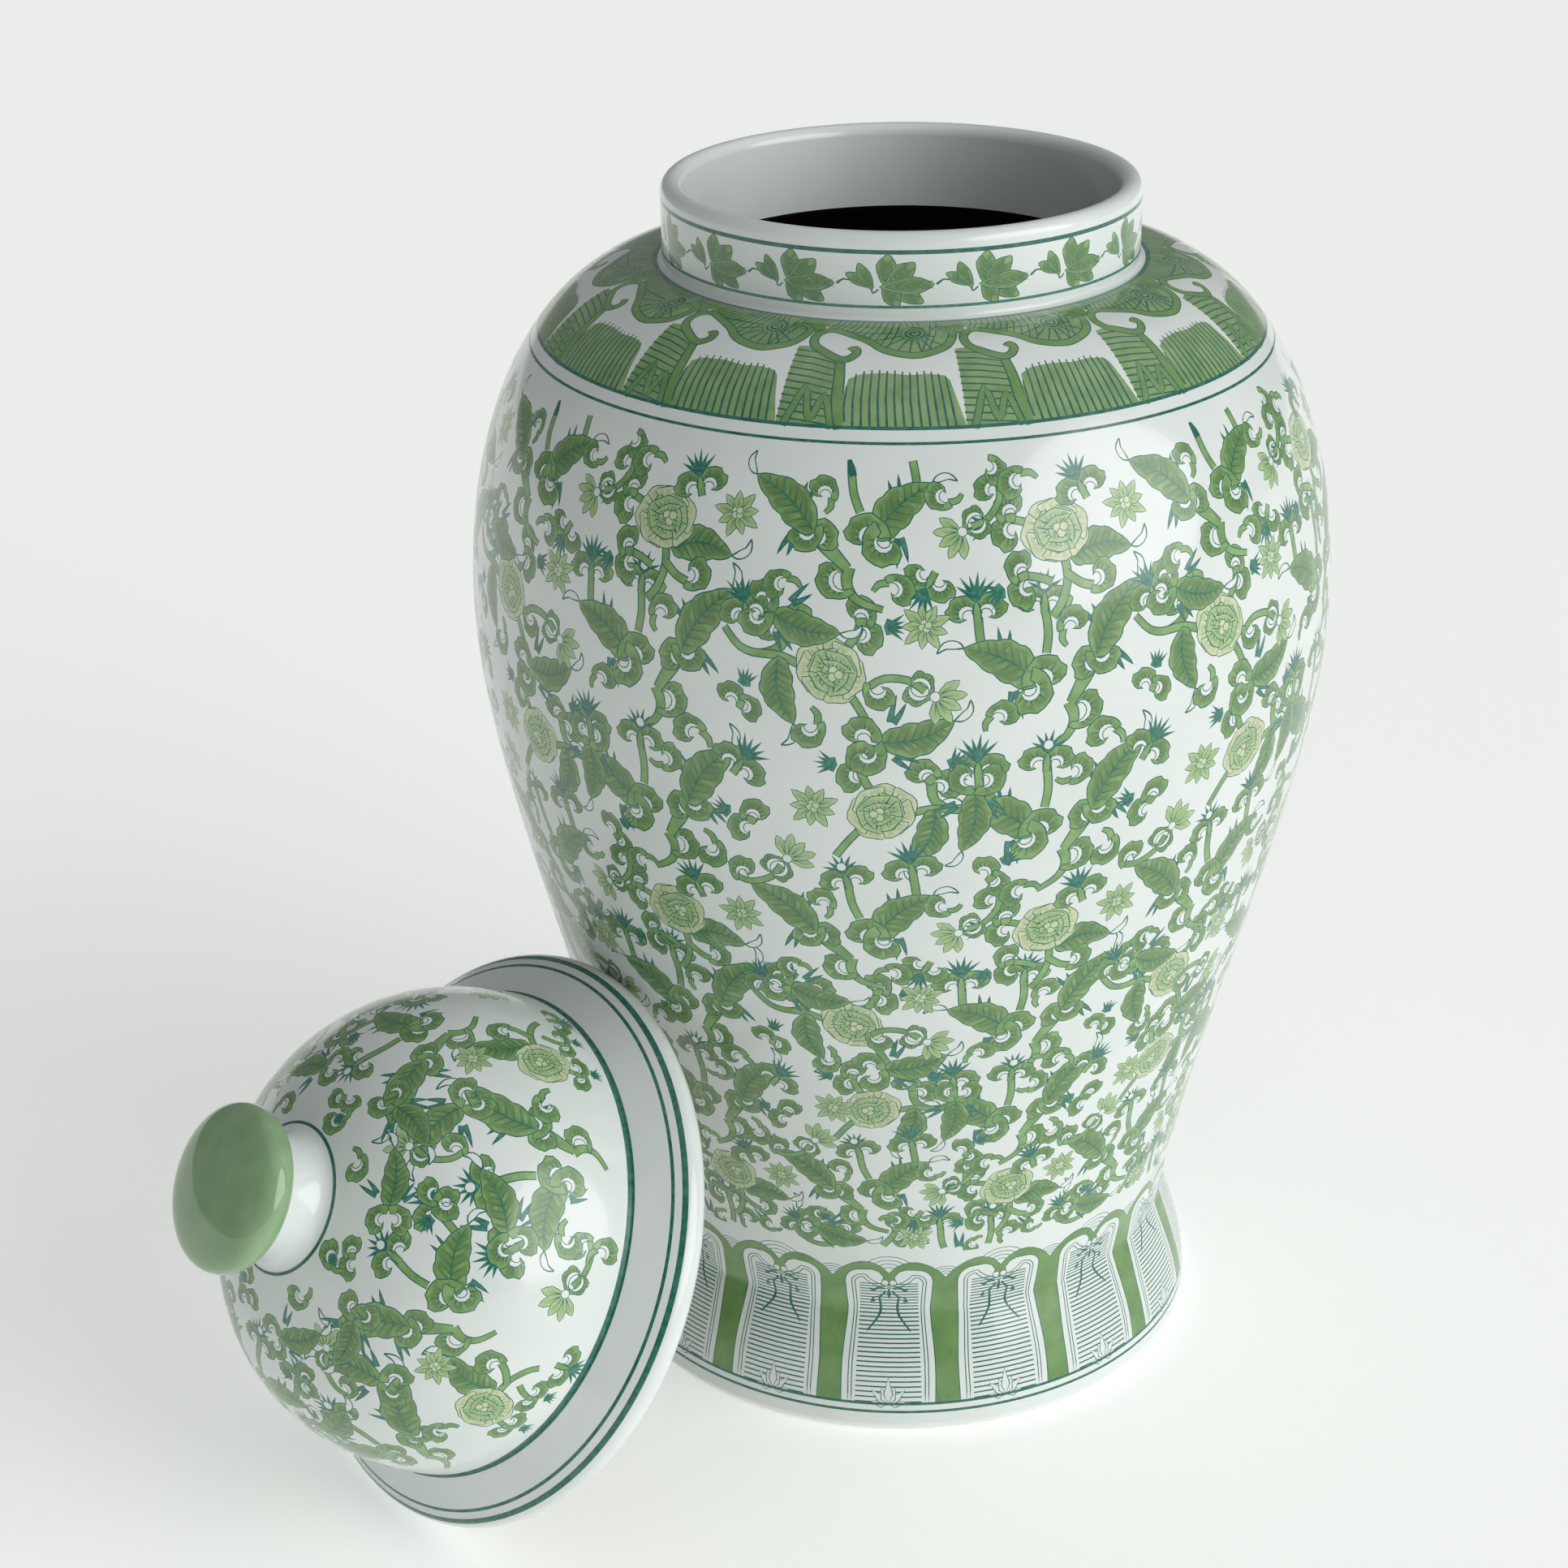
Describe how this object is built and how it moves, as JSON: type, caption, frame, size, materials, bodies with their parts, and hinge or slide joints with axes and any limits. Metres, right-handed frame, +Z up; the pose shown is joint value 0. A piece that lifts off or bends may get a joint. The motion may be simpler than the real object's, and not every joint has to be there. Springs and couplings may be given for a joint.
{
  "type": "ginger jar",
  "caption": "Tall baluster ginger jar on a flared foot, with its domed, knobbed lid off and leaning against its side.",
  "frame": {"origin": "Middle of the footprint of the jar and its leaning lid together, on the surface they stand on. The jar's own axis is the vertical line at x = 0.0683 m, y = 0.", "axes": "+Z is up, along the jar's axis. The lid leans towards the jar from the -X side with its knob pointing away; X is the longest extent and Y the shortest, and the whole is symmetric about y = 0."},
  "size_m": [0.4154, 0.2788, 0.4],
  "materials": {
    "white_glaze": "glossy clear glaze over white porcelain, hand-painted in green and teal",
    "celadon_glaze": "glossy even celadon-green glaze",
    "bare_clay": "matt unglazed clay"
  },
  "bodies": {
    "jar": {"jar_base": "white_glaze", "lower_body": "white_glaze", "upper_body": "white_glaze", "collar": "white_glaze"},
    "lid": {"lid_dome": "white_glaze", "lid_flange": "white_glaze", "locating_ring": "bare_clay", "knob_stem": "white_glaze", "knob": "celadon_glaze"}
  },
  "joints": [
    {"name": "lid_lift", "type": "slide", "parent": "jar", "child": "lid", "axis": [-0.8625, 0, 0.506], "range_m": [0, 0.15]}
  ]
}
